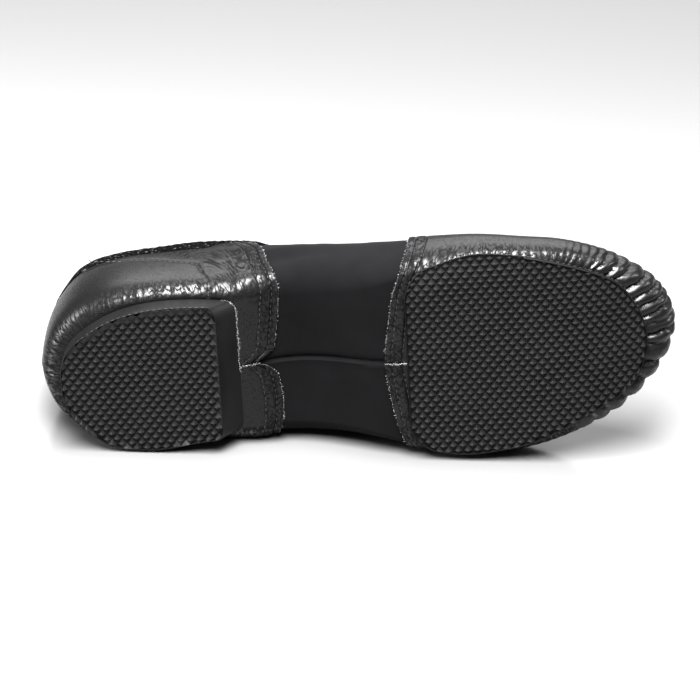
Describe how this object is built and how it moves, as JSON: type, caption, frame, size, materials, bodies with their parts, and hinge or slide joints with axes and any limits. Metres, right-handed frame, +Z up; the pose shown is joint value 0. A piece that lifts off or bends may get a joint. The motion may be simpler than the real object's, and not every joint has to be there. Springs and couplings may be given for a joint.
{
  "type": "jazz shoe",
  "caption": "Left split-sole slip-on jazz shoe of soft leather over a stretch sock, lying on its outer side, with a separate rubber heel pad and forefoot patch.",
  "frame": {"origin": "centre of the bounding box in plan, at the level of the floor that the shoe lies on", "axes": "+X towards the toe, -Y the way the sole faces, +Z up from the floor, towards the inner side of the foot"},
  "size_m": [0.247, 0.0726, 0.0884],
  "materials": {
    "stretch_fabric": "matt black stretch fabric with a fine knit",
    "soft_leather": "soft black leather, satin, finely wrinkled",
    "binding_tape": "fuzzy black elastic tape",
    "insole_lining": "matt black lining",
    "sole_rubber": "matt black rubber with a diamond tread"
  },
  "bodies": {
    "root": {"upper": "stretch_fabric", "vamp": "soft_leather", "quarter": "soft_leather", "collar_binding": "binding_tape", "insole": "insole_lining", "heel_pad": "sole_rubber", "forefoot_patch": "sole_rubber"}
  },
  "joints": []
}
